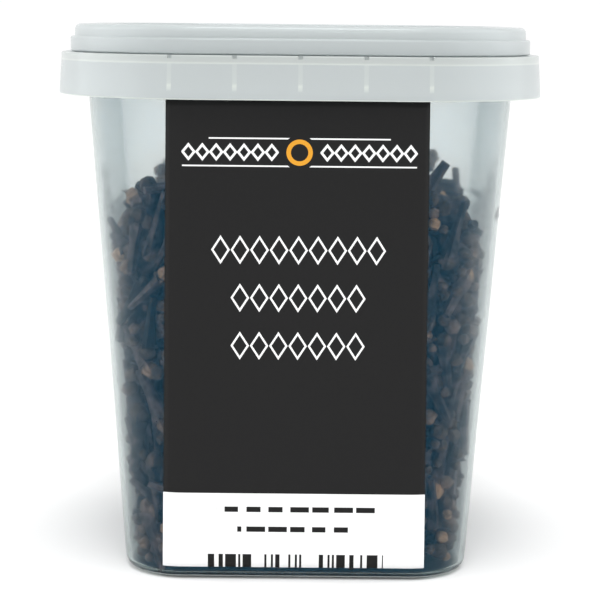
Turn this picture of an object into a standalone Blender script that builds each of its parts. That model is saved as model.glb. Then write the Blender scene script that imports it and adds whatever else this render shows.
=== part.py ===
# A square tub of translucent plastic with rounded corners and a tamper-evident collar,
# its press-on lid, a paper label on the front, and the heap of whole cloves inside.
# The tub stands on the origin with its front towards -Y.

import math
import random

import bmesh
import bpy
from mathutils import Matrix, Vector

MM = 0.001
GAP = 0.3 * MM

# Tub wall: outer half widths and corner radii, at the base and at the collar's foot
BASE_HALF = 34.4 * MM
TOP_HALF = 41.6 * MM
BASE_CORNER = 12.0 * MM
TOP_CORNER = 21.5 * MM
BASE_FILLET = 2.0 * MM
WALL = 0.9 * MM
FLOOR = 1.0 * MM

# Collar: a skirt that hangs from a web round the wall, stiffened by ribs
COLLAR_FOOT_Z = 95.0 * MM
COLLAR_TOP_Z = 103.1 * MM
COLLAR_FOOT_HALF = 47.5 * MM
COLLAR_TOP_HALF = 46.9 * MM
COLLAR_CORNER = 28.5 * MM
COLLAR_WALL = 0.9 * MM
COLLAR_EDGE = 0.25 * MM
WEB = 1.4 * MM
RIBS_PER_SIDE = 5
RIB_SPACING = 12.05 * MM
RIB_WIDTH = 0.7 * MM
RIB_FOOT_Z = COLLAR_FOOT_Z + 1.7 * MM
NOTCH_DEPTH = 0.8 * MM
NOTCH_LENGTH = 1.6 * MM

# Rim: the mouth above the web, with a bead that holds the lid
RIM_TOP_Z = 105.9 * MM
RIM_BEAD = 0.6 * MM
RIM_BEAD_HEIGHT = 1.5 * MM

# Lid: a lower ring on the collar, a narrower upper ring, and a sunk panel
LID_FOOT_Z = COLLAR_TOP_Z + GAP
LID_STEP_Z = 106.1 * MM
LID_TOP_Z = 108.5 * MM
LID_LOWER_HALF = 45.2 * MM
LID_UPPER_HALF = 44.35 * MM
LID_CORNER = 26.5 * MM
LID_ROUNDING = 0.8 * MM
LID_BEAD_WIDTH = 3.8 * MM
LID_PANEL_Z = 105.4 * MM
LID_SHEET = 1.0 * MM
LID_CHANNEL_HALF = 43.8 * MM
LID_PLUG_HALF = 40.3 * MM

# Label: a sheet of paper on the front wall, a little wider at its foot
LABEL_BOTTOM_WIDTH = 51.6 * MM
LABEL_TOP_WIDTH = 49.2 * MM
LABEL_SHIFT = -0.4 * MM
LABEL_BOTTOM_Z = 2.7 * MM
LABEL_TOP_Z = 95.0 * MM
LABEL_THICKNESS = 0.2 * MM
LABEL_COLUMNS = 16
LABEL_ROWS = 2

# Heap: a core inside the wall with cloves half sunk into it
HEAP_SEED = 11
CORE_INSET = 3.0 * MM
CLOVE_INSET = 3.3 * MM
CORE_BASE_Z = FLOOR + GAP
HEAP_EDGE_Z = 65 * MM
HEAP_MOUND = 15 * MM
HEAP_TILT = 1.5 * MM
MOUND_LENGTH = 0.75  # towards front and back the mound falls that much more slowly than sideways
MOUND_STEPS = ((0.9, 0.42), (0.74, 0.76), (0.45, 0.93), (0.15, 1.0))
CLOVE_GAP = 0.35 * MM
SIDE_ROW_SPACING = 8.8 * MM
SIDE_CLOVE_SPACING = 13.0 * MM
TOP_CLOVE_SPACING = 9.0 * MM
TURNS_TO_TRY = 14
SHORTEST_EDGE = 0.001 * MM

# One clove as (half width, height), from the tip of its bud over the crown and down its stem
CLOVE_PROFILE = (
    (0.0 * MM, 15.4 * MM),
    (2.2 * MM, 13.6 * MM),
    (1.9 * MM, 12.0 * MM),
    (3.1 * MM, 11.4 * MM),
    (1.9 * MM, 9.6 * MM),
    (0.9 * MM, 0.3 * MM),
    (0.0 * MM, 0.0 * MM),
)
CLOVE_MIDDLE = 7.7 * MM
CLOVE_SIDES = 4

CORNER_STEPS = 8
CORE_CORNER_STEPS = 3
FILLET_STEPS = 3


# Outlines

def square_ring(half, corner, z, steps=CORNER_STEPS):
    """A square with rounded corners, level at height z."""
    ring = []
    for quarter in range(4):
        turn = Matrix.Rotation(quarter * math.pi / 2, 3, "Z")
        for step in range(steps + 1):
            angle = step / steps * math.pi / 2
            x = half - corner + corner * math.cos(angle)
            y = half - corner + corner * math.sin(angle)
            ring.append(turn @ Vector((x, y, z)))
    return ring


def side_distance(x, half, corner):
    """How far the rounded square's side lies from the middle, at x along it."""
    past_flat = max(abs(x) - half + corner, 0)
    return half - corner + math.sqrt(corner**2 - past_flat**2)


def wall_half(z):
    return BASE_HALF + (TOP_HALF - BASE_HALF) * z / COLLAR_FOOT_Z


def wall_corner(z):
    return BASE_CORNER + (TOP_CORNER - BASE_CORNER) * z / COLLAR_FOOT_Z


def wall_ring(inset, z, steps=CORNER_STEPS):
    """The wall's outline at height z, moved in by an inset."""
    return square_ring(wall_half(z) - inset, wall_corner(z) - inset, z, steps)


def collar_half(z):
    rise = (z - COLLAR_FOOT_Z) / (COLLAR_TOP_Z - COLLAR_FOOT_Z)
    return COLLAR_FOOT_HALF + (COLLAR_TOP_HALF - COLLAR_FOOT_HALF) * rise


def collar_ring(inset, z):
    return square_ring(collar_half(z) - inset, COLLAR_CORNER - inset, z)


def lid_ring(half, z):
    return square_ring(half, LID_CORNER + half - LID_LOWER_HALF, z)


def wall_clearance(point):
    """How far a point inside the tub lies from the inner face of the wall or the floor."""
    half = wall_half(point.z) - WALL
    corner = wall_corner(point.z) - WALL
    across_x = abs(point.x) - half + corner
    across_y = abs(point.y) - half + corner
    beyond = math.hypot(max(across_x, 0), max(across_y, 0))
    to_wall = corner - beyond - min(max(across_x, across_y), 0)
    return min(to_wall, point.z - FLOOR)


# Blender helpers

def clear_scene():
    for old in list(bpy.data.objects):
        bpy.data.objects.remove(old)


def new_collection(name):
    collection = bpy.data.collections.new(name)
    bpy.context.scene.collection.children.link(collection)
    return collection


def material(name, colour, roughness, alpha=1.0):
    made = bpy.data.materials.new(name)
    made.use_nodes = True
    shader = made.node_tree.nodes["Principled BSDF"]
    shader.inputs["Base Color"].default_value = (*colour, 1)
    shader.inputs["Roughness"].default_value = roughness
    shader.inputs["Metallic"].default_value = 0
    shader.inputs["Alpha"].default_value = alpha
    return made


def loft(rings):
    """A closed mesh through a row of rings with equal point counts, capped at both ends."""
    mesh = bmesh.new()
    rows = [[mesh.verts.new(p) for p in ring] for ring in rings]
    for lower, upper in zip(rows, rows[1:]):
        for i in range(len(lower)):
            j = (i + 1) % len(lower)
            mesh.faces.new((lower[i], lower[j], upper[j], upper[i]))
    mesh.faces.new(list(reversed(rows[0])))
    mesh.faces.new(rows[-1])
    return mesh


def put(name, mesh, collection, finish=None):
    data = bpy.data.meshes.new(name)
    mesh.to_mesh(data)
    mesh.free()
    made = bpy.data.objects.new(name, data)
    collection.objects.link(made)
    if finish:
        data.materials.append(finish)
    return made


def evaluated_mesh(obj):
    graph = bpy.context.evaluated_depsgraph_get()
    return bpy.data.meshes.new_from_object(obj.evaluated_get(graph))


def shade(obj, sharp_degrees=30):
    obj.data.shade_smooth()
    obj.data.set_sharp_from_angle(angle=math.radians(sharp_degrees))


def combine(obj, pieces, operation):
    """Joins or cuts the object with every piece of a collection, then removes the pieces."""
    bpy.context.view_layer.update()
    boolean = obj.modifiers.new("pieces", "BOOLEAN")
    boolean.operation = operation
    boolean.operand_type = "COLLECTION"
    boolean.collection = pieces
    done = evaluated_mesh(obj)
    obj.modifiers.clear()
    obj.data = done
    for piece in list(pieces.objects):
        bpy.data.objects.remove(piece)
    bpy.data.collections.remove(pieces)


# Tub

def fillet_rings(floor_z, outer_inset, radius):
    """Rings from a flat floor up round the fillet at its edge."""
    rings = []
    for step in range(FILLET_STEPS + 1):
        angle = step / FILLET_STEPS * math.pi / 2
        inset = outer_inset + radius * (1 - math.sin(angle))
        rings.append(wall_ring(inset, floor_z + radius * (1 - math.cos(angle))))
    return rings


def tub_rings():
    """The tub's section: up the outside, over collar and rim, and down the inside."""
    web_foot = COLLAR_TOP_Z - WEB
    bead_foot = RIM_TOP_Z - RIM_BEAD_HEIGHT
    outside = fillet_rings(0, 0, BASE_FILLET) + [wall_ring(0, web_foot)]
    collar = [
        collar_ring(COLLAR_WALL, web_foot),
        collar_ring(COLLAR_WALL, COLLAR_FOOT_Z),
        collar_ring(0, COLLAR_FOOT_Z),
        collar_ring(0, COLLAR_TOP_Z - COLLAR_EDGE),
        collar_ring(COLLAR_EDGE, COLLAR_TOP_Z),
    ]
    rim = [
        wall_ring(0, COLLAR_TOP_Z),
        wall_ring(0, bead_foot),
        wall_ring(-RIM_BEAD, bead_foot + RIM_BEAD),
        wall_ring(0, RIM_TOP_Z),
        wall_ring(WALL, RIM_TOP_Z),
    ]
    inside = fillet_rings(FLOOR, WALL, BASE_FILLET - WALL)
    return outside + collar + rim + inside[::-1]


def box(name, collection, centre, size, turn):
    """A cuboid piece, turned about the tub's axis."""
    bpy.ops.mesh.primitive_cube_add(size=1)
    piece = bpy.context.object
    piece.name = name
    for old in piece.users_collection:
        old.objects.unlink(piece)
    collection.objects.link(piece)
    piece.matrix_world = turn @ Matrix.Translation(centre) @ Matrix.Diagonal((*size, 1))
    return piece


def build_tub(parts, finish):
    tub = put("tub", loft(tub_rings()), parts, finish)
    ribs = new_collection("ribs")
    notches = new_collection("notches")
    sunk = 0.4 * MM
    rib_top = COLLAR_TOP_Z - WEB + sunk
    middle_z = (RIB_FOOT_Z + rib_top) / 2
    for side in range(4):
        turn = Matrix.Rotation(side * math.pi / 2, 4, "Z")
        for i in range(RIBS_PER_SIDE):
            x = (i - (RIBS_PER_SIDE - 1) / 2) * RIB_SPACING
            inner = side_distance(x, wall_half(middle_z), wall_corner(middle_z)) - sunk
            outer = side_distance(x, collar_half(middle_z), COLLAR_CORNER) - COLLAR_WALL + sunk
            size = (RIB_WIDTH, outer - inner, rib_top - RIB_FOOT_Z)
            box("rib", ribs, Vector((x, -(inner + outer) / 2, middle_z)), size, turn)
            edge = Vector((x, -side_distance(x, COLLAR_TOP_HALF, COLLAR_CORNER), COLLAR_TOP_Z))
            box("notch", notches, edge, (RIB_WIDTH, NOTCH_LENGTH, 2 * NOTCH_DEPTH), turn)
    combine(tub, ribs, "UNION")
    combine(tub, notches, "DIFFERENCE")
    shade(tub)


# Lid

def lid_rings():
    """The lid's section: from its panel's underside out round the rim and back over the top."""
    roof = RIM_TOP_Z + GAP
    bead_inner = LID_UPPER_HALF - LID_BEAD_WIDTH
    under = [
        lid_ring(LID_PLUG_HALF - LID_SHEET, LID_PANEL_Z - LID_SHEET),
        lid_ring(LID_PLUG_HALF, LID_PANEL_Z - LID_SHEET / 2),
        lid_ring(LID_PLUG_HALF, roof),
        lid_ring(LID_CHANNEL_HALF, roof),
        lid_ring(LID_CHANNEL_HALF, LID_FOOT_Z),
    ]
    over = [
        lid_ring(LID_LOWER_HALF, LID_FOOT_Z),
        lid_ring(LID_LOWER_HALF, LID_STEP_Z - LID_ROUNDING / 2),
        lid_ring(LID_UPPER_HALF + LID_ROUNDING / 8, LID_STEP_Z),
        lid_ring(LID_UPPER_HALF, LID_TOP_Z - LID_ROUNDING),
        lid_ring(LID_UPPER_HALF - LID_ROUNDING * 0.3, LID_TOP_Z - LID_ROUNDING * 0.3),
        lid_ring(LID_UPPER_HALF - LID_ROUNDING, LID_TOP_Z),
        lid_ring(bead_inner, LID_TOP_Z),
        lid_ring(bead_inner - LID_SHEET * 0.6, LID_TOP_Z - LID_SHEET * 0.4),
        lid_ring(bead_inner - LID_SHEET, LID_PANEL_Z),
    ]
    return under + over


def build_lid(parts, finish):
    lid = put("lid", loft(lid_rings()), parts, finish)
    shade(lid)


# Label

def build_label(parts, finish):
    """A sheet laid on the front wall and round into its corners, thickened outwards."""
    mesh = bmesh.new()
    bmesh.ops.create_grid(mesh, x_segments=LABEL_COLUMNS, y_segments=LABEL_ROWS, size=0.5)
    upright = Matrix.Rotation(math.pi / 2, 4, "X")
    bmesh.ops.transform(mesh, matrix=upright, verts=mesh.verts)
    for vert in mesh.verts:
        up = vert.co.z + 0.5
        width = LABEL_BOTTOM_WIDTH + (LABEL_TOP_WIDTH - LABEL_BOTTOM_WIDTH) * up
        x = LABEL_SHIFT + vert.co.x * width
        z = LABEL_BOTTOM_Z + up * (LABEL_TOP_Z - LABEL_BOTTOM_Z)
        front = side_distance(x, wall_half(z), wall_corner(z)) + GAP
        vert.co = Vector((x, -front, z))
    label = put("label", mesh, parts, finish)
    paper = label.modifiers.new("paper", "SOLIDIFY")
    paper.thickness = LABEL_THICKNESS
    paper.offset = 1


# Heap of cloves

def core_reach(z):
    return wall_half(z) - WALL - CORE_INSET


def tilt(x):
    """How much the heap is higher at x, as it leans up to the left and down to the right."""
    return -HEAP_TILT * x / core_reach(HEAP_EDGE_Z)


def core_rings():
    """The core's section: up inside the wall and in over the mound."""
    foot, edge = (wall_ring(WALL + CORE_INSET, z, CORE_CORNER_STEPS) for z in (CORE_BASE_Z, HEAP_EDGE_Z))
    rings = [foot]
    for across, up in ((1.0, 0.0), *MOUND_STEPS):
        z = HEAP_EDGE_Z + HEAP_MOUND * up
        along = min(across / MOUND_LENGTH, core_reach(z) / core_reach(HEAP_EDGE_Z))
        rings.append([Vector((p.x * across, p.y * along, z + tilt(p.x * across))) for p in edge])
    return rings


def mound_height(x, y):
    """Height of the mound over a point of the floor."""
    across = max(abs(x), MOUND_LENGTH * abs(y)) / core_reach(HEAP_EDGE_Z)
    steps = ((1.0, 0.0), *MOUND_STEPS, (0.0, 1.0))
    for (wide, low), (narrow, high) in zip(steps, steps[1:]):
        if narrow <= across <= wide:
            up = low + (high - low) * (wide - across) / (wide - narrow)
            return HEAP_EDGE_Z + HEAP_MOUND * up + tilt(x)
    return HEAP_EDGE_Z + tilt(x)


def clove_mesh():
    """A clove up the Z axis: the profile turned round it in a few sides, middle at the origin."""
    mesh = bmesh.new()
    points = [mesh.verts.new((half, 0, z - CLOVE_MIDDLE)) for half, z in CLOVE_PROFILE]
    for upper, lower in zip(points, points[1:]):
        mesh.edges.new((upper, lower))
    profile = put("clove profile", mesh, bpy.context.scene.collection)
    turned = profile.modifiers.new("turned", "SCREW")
    turned.steps = CLOVE_SIDES
    turned.render_steps = CLOVE_SIDES
    turned.use_merge_vertices = True
    turned.merge_threshold = 0.00005
    made = evaluated_mesh(profile)
    bpy.data.objects.remove(profile)
    return made


def side_spots():
    """Spots spaced evenly round the core's side in staggered rows, as (point, outward direction)."""
    rows = int((HEAP_EDGE_Z + HEAP_MOUND - CORE_BASE_Z) / SIDE_ROW_SPACING)
    for row in range(rows):
        z = CORE_BASE_Z + (row + 0.6) * SIDE_ROW_SPACING
        ring = wall_ring(WALL + CLOVE_INSET, z)
        edges = [(a, b - a) for a, b in zip(ring, ring[1:] + ring[:1])]
        round_trip = sum(edge.length for _, edge in edges)
        count = round(round_trip / SIDE_CLOVE_SPACING)
        for i in range(count):
            left = (i + 0.5 * (row % 2)) / count * round_trip
            for start, edge in edges:
                if left <= edge.length:
                    break
                left -= edge.length
            along = edge.normalized()
            spot = start + along * left
            if spot.z < mound_height(spot.x, spot.y):
                yield spot, Vector((along.y, -along.x, 0))


def top_spots():
    """Spots spaced evenly over the mound, as (point, outward direction)."""
    reach = core_reach(HEAP_EDGE_Z)
    rows = int(2 * reach / TOP_CLOVE_SPACING)
    for i in range(rows):
        for j in range(rows):
            x = ((i + 0.5) / rows * 2 - 1) * reach
            y = ((j + 0.5) / rows * 2 - 1) * reach
            yield Vector((x, y, mound_height(x, y))), Vector((0, 0, 1))


def lying_clove(draw, spot, outward):
    """The place of a clove that lies on the heap's surface, turned at random along it."""
    side = outward.orthogonal().normalized()
    turn = draw.uniform(0, math.tau)
    along = side * math.cos(turn) + outward.cross(side) * math.sin(turn)
    lean = draw.uniform(-0.25, 0.45) if outward.z > 0.5 else draw.uniform(-0.12, 0.12)
    facing = Vector((0, 0, 1)).rotation_difference(along + outward * lean)
    roll = Matrix.Rotation(draw.uniform(0, math.tau), 4, "Z")
    size = Matrix.Scale(draw.uniform(0.88, 1.12), 4)
    return Matrix.Translation(spot) @ facing.to_matrix().to_4x4() @ roll @ size


def tidy_surface(obj):
    """Drops needle-thin faces, loose scraps and the skins of sealed hollows."""
    mesh = bmesh.new()
    mesh.from_mesh(obj.data)
    bmesh.ops.triangulate(mesh, faces=mesh.faces)
    bmesh.ops.dissolve_degenerate(mesh, edges=mesh.edges, dist=SHORTEST_EDGE)
    left = set(mesh.faces)
    shells = []
    while left:
        growing = [left.pop()]
        shell = set(growing)
        while growing:
            face = growing.pop()
            near = {other for edge in face.edges for other in edge.link_faces} & left
            left -= near
            shell |= near
            growing.extend(near)
        shells.append(shell)
    largest = max(shells, key=len)
    scraps = [face for face in mesh.faces if face not in largest]
    bmesh.ops.delete(mesh, geom=scraps, context="FACES")
    mesh.to_mesh(obj.data)
    mesh.free()


def build_cloves(parts, finish):
    draw = random.Random(HEAP_SEED)
    heap = put("cloves", loft(core_rings()), parts, finish)
    pieces = new_collection("clove pieces")
    clove = clove_mesh()
    for spot, outward in [*side_spots(), *top_spots()]:
        for _ in range(TURNS_TO_TRY):
            place = lying_clove(draw, spot, outward)
            if all(wall_clearance(place @ vert.co) > CLOVE_GAP for vert in clove.vertices):
                piece = bpy.data.objects.new("clove", clove)
                piece.matrix_world = place
                pieces.objects.link(piece)
                break
    combine(heap, pieces, "UNION")
    tidy_surface(heap)


def main():
    clear_scene()
    parts = new_collection("tub of cloves")
    plastic = material("translucent plastic", (0.66, 0.71, 0.71), 0.3, 0.4)
    paper = material("printed paper", (0.03, 0.03, 0.03), 0.6)
    brown = material("clove", (0.07, 0.045, 0.03), 0.8)
    build_tub(parts, plastic)
    build_lid(parts, plastic)
    build_label(parts, paper)
    build_cloves(parts, brown)


main()
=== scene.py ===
import math

import bpy
import numpy as np
from mathutils import Matrix, Vector


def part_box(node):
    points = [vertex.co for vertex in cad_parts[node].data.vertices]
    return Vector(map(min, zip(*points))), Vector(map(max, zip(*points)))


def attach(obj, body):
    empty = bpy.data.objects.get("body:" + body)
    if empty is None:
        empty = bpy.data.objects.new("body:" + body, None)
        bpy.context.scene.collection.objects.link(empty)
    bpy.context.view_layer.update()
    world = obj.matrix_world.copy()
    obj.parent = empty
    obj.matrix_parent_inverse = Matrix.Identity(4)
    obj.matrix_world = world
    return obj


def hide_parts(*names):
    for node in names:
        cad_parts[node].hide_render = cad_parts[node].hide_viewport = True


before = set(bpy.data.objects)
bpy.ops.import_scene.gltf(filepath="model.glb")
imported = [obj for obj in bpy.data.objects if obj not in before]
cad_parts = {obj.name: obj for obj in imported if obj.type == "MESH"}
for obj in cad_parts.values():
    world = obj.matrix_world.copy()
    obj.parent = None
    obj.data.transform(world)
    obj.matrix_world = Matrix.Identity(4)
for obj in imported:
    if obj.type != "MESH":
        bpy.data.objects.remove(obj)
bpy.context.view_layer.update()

mm = 0.001
tubHigh = np.array(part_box("tub")[1]) / mm
lidLow, lidHigh = (np.array(corner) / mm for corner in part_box("lid"))
labelLow, labelHigh = (np.array(corner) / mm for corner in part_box("label"))
clovesHigh = np.array(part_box("cloves")[1]) / mm
print("frame loaded, sizes below are in millimetres")


# Meshes from arrays

def gridFaces(rows, columns, start=0):
    # quads between neighbouring rows of a grid whose last column meets its first
    row, column = np.meshgrid(np.arange(rows - 1), np.arange(columns), indexing="ij")
    beside = (column + 1) % columns
    corners = (row * columns + column, row * columns + beside,
               (row + 1) * columns + beside, (row + 1) * columns + column)
    return start + np.stack(corners, axis=-1).reshape(-1, 4)


def placedMesh(name, points, faces, material, smoothAngle=35):
    mesh = bpy.data.meshes.new(name)
    mesh.from_pydata((points * mm).tolist(), [], faces)
    mesh.validate()
    mesh.shade_smooth()
    mesh.set_sharp_from_angle(angle=math.radians(smoothAngle))
    mesh.materials.append(material)
    piece = bpy.data.objects.new(name, mesh)
    bpy.context.scene.collection.objects.link(piece)
    return piece


def addAttribute(piece, name, kind, values):
    made = piece.data.attributes.new(name, kind, "POINT")
    field = "vector" if kind == "FLOAT_VECTOR" else "value"
    made.data.foreach_set(field, np.ravel(values).astype(np.float32))


# Shader nodes

def feed(tree, socket, value):
    if isinstance(value, bpy.types.NodeSocket):
        tree.links.new(value, socket)
    elif value is not None:
        socket.default_value = value


def addNode(tree, kind, *feeds, named=None, **settings):
    made = tree.nodes.new("ShaderNode" + kind)
    for name, value in settings.items():
        setattr(made, name, value)
    for socket, value in zip(made.inputs, feeds):
        feed(tree, socket, value)
    for name, value in (named or {}).items():
        feed(tree, made.inputs[name], value)
    return made


def maths(tree, operation, *values, clamp=False):
    return addNode(tree, "Math", *values, operation=operation, use_clamp=clamp).outputs[0]


def mixed(tree, share, first, second, blend="MIX"):
    made = addNode(tree, "Mix", data_type="RGBA", blend_type=blend)
    feed(tree, made.inputs["Factor"], share)
    feed(tree, made.inputs[6], first)
    feed(tree, made.inputs[7], second)
    return made.outputs[2]


def noise(tree, place, scale, detail=3.0, roughness=0.55, distortion=0.0):
    values = {"Vector": place, "Scale": scale, "Detail": detail, "Roughness": roughness,
              "Distortion": distortion}
    return addNode(tree, "TexNoise", named=values).outputs["Fac"]


def stretched(tree, place, scale):
    return addNode(tree, "Mapping", named={"Vector": place, "Scale": scale}, vector_type="POINT").outputs[0]


def fromRange(tree, value, low, high, newLow, newHigh):
    values = {"Value": value, "From Min": low, "From Max": high, "To Min": newLow, "To Max": newHigh}
    return addNode(tree, "MapRange", named=values).outputs[0]


def newGroup(name, inputs, outputs):
    group = bpy.data.node_groups.new(name, "ShaderNodeTree")
    for label, kind, value in inputs:
        socket = group.interface.new_socket(name=label, in_out="INPUT", socket_type="NodeSocket" + kind)
        if value is not None:
            socket.default_value = value
    for label, kind in outputs:
        group.interface.new_socket(name=label, in_out="OUTPUT", socket_type="NodeSocket" + kind)
    into = group.nodes.new("NodeGroupInput")
    out = group.nodes.new("NodeGroupOutput")
    return group, into.outputs, out.inputs


def useGroup(tree, group, **values):
    made = tree.nodes.new("ShaderNodeGroup")
    made.node_tree = group
    for name, value in values.items():
        feed(tree, made.inputs[name], value)
    return made.outputs


def newMaterial(name):
    made = bpy.data.materials.new(name)
    made.use_nodes = True
    return made, made.node_tree, made.node_tree.nodes["Principled BSDF"]


def addBump(tree, shader, height, strength, distance):
    values = {"Height": height, "Strength": strength, "Distance": distance}
    tree.links.new(addNode(tree, "Bump", named=values).outputs[0], shader.inputs["Normal"])


# Translucent plastic

plastic = {
    "throughColour": (0.55, 0.57, 0.57, 1),  # what lamps keep on their way through one face
    "bend": 1.45,
    "grainScale": 900.0,
    "flowScale": 28.0,
    "grainDepth": 0.00004,
    "spread": 0.12,  # how far roughness strays with the flow marks
    "bodyColour": (0.43, 0.57, 0.54, 1),  # what stays of light on a long way through the wall
    "paintedLightColour": (0.84, 0.88, 0.82, 1),  # painted light where ribs and web show through the collar, and a painted highlight along its foot's edge
}
# Part of the light passes nearly straight and the rest is scattered. Each part has its colour, the
# roughness of the outer and the inner face, the share that passes, and the colour of its gloss.
# The density says how much a long way through the body dims, and the relief how strong the grain is.
thinWall = {
    "clear": ((0.935, 0.93, 0.94, 1), 0.06, 0.06, 1.0, (0.10, 0.48, 0.85, 1)),
    "milky": ((0.935, 0.93, 0.94, 1), 0.10, 0.42, 1.0, (0.10, 0.48, 0.85, 1)),
    "milkyShare": 0.22,
    "density": 340.0,
    "coat": 0.0,
    "relief": 0.15,
}
thickRim = {
    "clear": ((0.84, 0.87, 0.87, 1), 0.16, 0.16, 1.0, (0.5, 0.6, 0.65, 1)),
    "milky": ((0.56, 0.597, 0.60, 1), 0.50, 0.50, 0.25, (0.5, 0.6, 0.65, 1)),
    "milkyShare": 0.8,
    "density": 10.0,
    "relief": 0.04,
    "coat": 0.6,
    "coatRoughness": 0.3,
}


def mouldedSurfaceGroup():
    # satin grain with slow flow marks, as injection moulding leaves them; the inner face is the rougher one
    inputs = (("Place", "Vector", None), ("Inside", "Float", 0.0), ("Grain Scale", "Float", 900.0),
              ("Flow Scale", "Float", 28.0), ("Outer", "Float", 0.1), ("Inner", "Float", 0.5),
              ("Spread", "Float", 0.1))
    outputs = (("Roughness", "Float"), ("Height", "Float"))
    group, given, out = newGroup("mouldedSurface", inputs, outputs)
    grain = noise(group, given["Place"], given["Grain Scale"], 2.0)
    drawn = stretched(group, given["Place"], (1, 1, 0.35))
    flow = noise(group, drawn, given["Flow Scale"], 2.0, distortion=0.6)
    rough = fromRange(group, given["Inside"], 0.0, 1.0, given["Outer"], given["Inner"])
    low = maths(group, "SUBTRACT", 1.0, given["Spread"])
    high = maths(group, "ADD", 1.0, given["Spread"])
    stray = fromRange(group, flow, 0.3, 0.7, low, high)
    group.links.new(maths(group, "MULTIPLY", rough, stray), out["Roughness"])
    height = maths(group, "MULTIPLY_ADD", flow, 4.0, grain)
    group.links.new(height, out["Height"])
    return group


def plasticMaterial(name, kind, group):
    made, tree, clear = newMaterial(name)
    milky = addNode(tree, "BsdfPrincipled")
    place = addNode(tree, "TexCoord").outputs["Object"]
    inside = addNode(tree, "Attribute", attribute_name="inside").outputs["Fac"]
    for shader, (colour, outer, inner, openShare, gloss) in ((clear, kind["clear"]), (milky, kind["milky"])):
        surface = useGroup(tree, group, **{
            "Place": place, "Inside": inside, "Grain Scale": plastic["grainScale"],
            "Flow Scale": plastic["flowScale"], "Outer": outer, "Inner": inner, "Spread": plastic["spread"]})
        shader.inputs["Base Color"].default_value = colour
        if kind["coat"]:
            # painted light where ribs and web show through the collar, and a painted highlight along its
            # foot's edge
            paintedLight = addNode(tree, "Attribute", attribute_name="paintedLight").outputs["Fac"]
            tree.links.new(mixed(tree, paintedLight, colour, plastic["paintedLightColour"]), shader.inputs["Base Color"])
            shader.inputs["Coat Weight"].default_value = kind["coat"]
            shader.inputs["Coat Roughness"].default_value = kind["coatRoughness"]
        shader.inputs["Transmission Weight"].default_value = openShare
        shader.inputs["IOR"].default_value = plastic["bend"]
        shader.inputs["Specular Tint"].default_value = gloss
        tree.links.new(surface["Roughness"], shader.inputs["Roughness"])
        addBump(tree, shader, surface["Height"], kind["relief"], plastic["grainDepth"])
    body = addNode(tree, "MixShader", kind["milkyShare"], clear.outputs[0], milky.outputs[0]).outputs[0]
    # lamps reach what stands behind the wall
    through = addNode(tree, "BsdfTransparent", plastic["throughColour"]).outputs[0]
    shadowRay = addNode(tree, "LightPath").outputs["Is Shadow Ray"]
    both = addNode(tree, "MixShader", shadowRay, body, through)
    depths = addNode(tree, "VolumeAbsorption", plastic["bodyColour"], kind["density"])
    finished = tree.nodes["Material Output"].inputs
    tree.links.new(both.outputs[0], finished["Surface"])
    tree.links.new(depths.outputs[0], finished["Volume"])
    return made


mouldedSurface = mouldedSurfaceGroup()
wallPlastic = plasticMaterial("wallPlastic", thinWall, mouldedSurface)
rimPlastic = plasticMaterial("rimPlastic", thickRim, mouldedSurface)


# Outlines of the tub, as rounded squares

outline = {
    "arcSteps": 20,
    "flatSteps": 8,
    "ribSpots": (-24.1, -12.05, 0.0, 12.05, 24.1),  # along each side of the collar
    "notchWidth": 0.7,
    "notchSlope": 0.12,
}
tub = {
    "baseHalf": 34.4,
    "baseCorner": 12.0,
    "footHalf": 41.6,  # at the collar's foot
    "footCorner": 21.5,
    "collarFoot": 95.0,
    "collarTop": 103.1,
    "collarTopHalf": 46.9,
    "collarCorner": 28.5,
    "wall": 0.9,
    "floor": 1.0,
    "fillet": 2.0,
    "footWidth": 3.2,
    "footRecess": 0.45,
    # a thin band at the foot in the milkier plastic, a painted highlight
    "paintedFootHighlight": (0.4, 0.7),
    "web": 1.4,
    "edge": 0.25,
    "notchDepth": 0.6,
    "ribFoot": 96.9,
    "ribWidth": 0.7,
    "ribPaintedLight": ((-0.4, 0), (0, 0.4), (0.7, 0.75), (1.2, 0.25), (3, 0.18)),  # height from the foot, and share of painted light
    # painted light where the web shows through
    "webPaintedLight": ((-0.25, 0), (0, 0.6), (0.25, 0.3)),
    # painted highlight along the collar's foot, and painted light on the ribs
    "edgeAndRibPaintedLight": 0.8,
    "bead": 0.6,
    "beadHeight": 1.5,
    "fillLine": 71.8,
    "fillLineHeight": 0.14,
    "fillLineReach": 30.0,
    "fillLineFade": 6.0,
    "wave": 0.05,
}
collarFootHalf = tubHigh[0]
collarFlat = collarFootHalf - tub["collarCorner"]


def perimeterSpots():
    # (flat, turn, quarter) of each point round a rounded square: a point lies at
    # half - corner + corner cos(turn) outwards and flat (half - corner) + corner sin(turn) along the side
    flats = list(np.linspace(-1, 1, outline["flatSteps"], endpoint=False))
    turns = list(np.linspace(0, math.pi / 2, outline["arcSteps"], endpoint=False))
    half = outline["notchWidth"] / 2
    for spot in outline["ribSpots"]:
        for offset in (-half - outline["notchSlope"], -half, half, half + outline["notchSlope"]):
            past = abs(spot + offset) - collarFlat
            if past < 0:
                flats.append((spot + offset) / collarFlat)
            else:
                turn = math.asin(past / tub["collarCorner"])
                turns.append(turn if spot + offset > 0 else math.pi / 2 - turn)
    flats = np.unique(np.round(flats, 6))
    turns = np.unique(np.round(turns, 6))
    flat = np.concatenate([flats, np.ones(len(turns))])
    turn = np.concatenate([np.zeros(len(flats)), turns])
    quarter = np.repeat(np.arange(4), len(flat))
    return np.tile(flat, 4), np.tile(turn, 4), quarter


spotFlat, spotTurn, spotQuarter = perimeterSpots()


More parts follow.
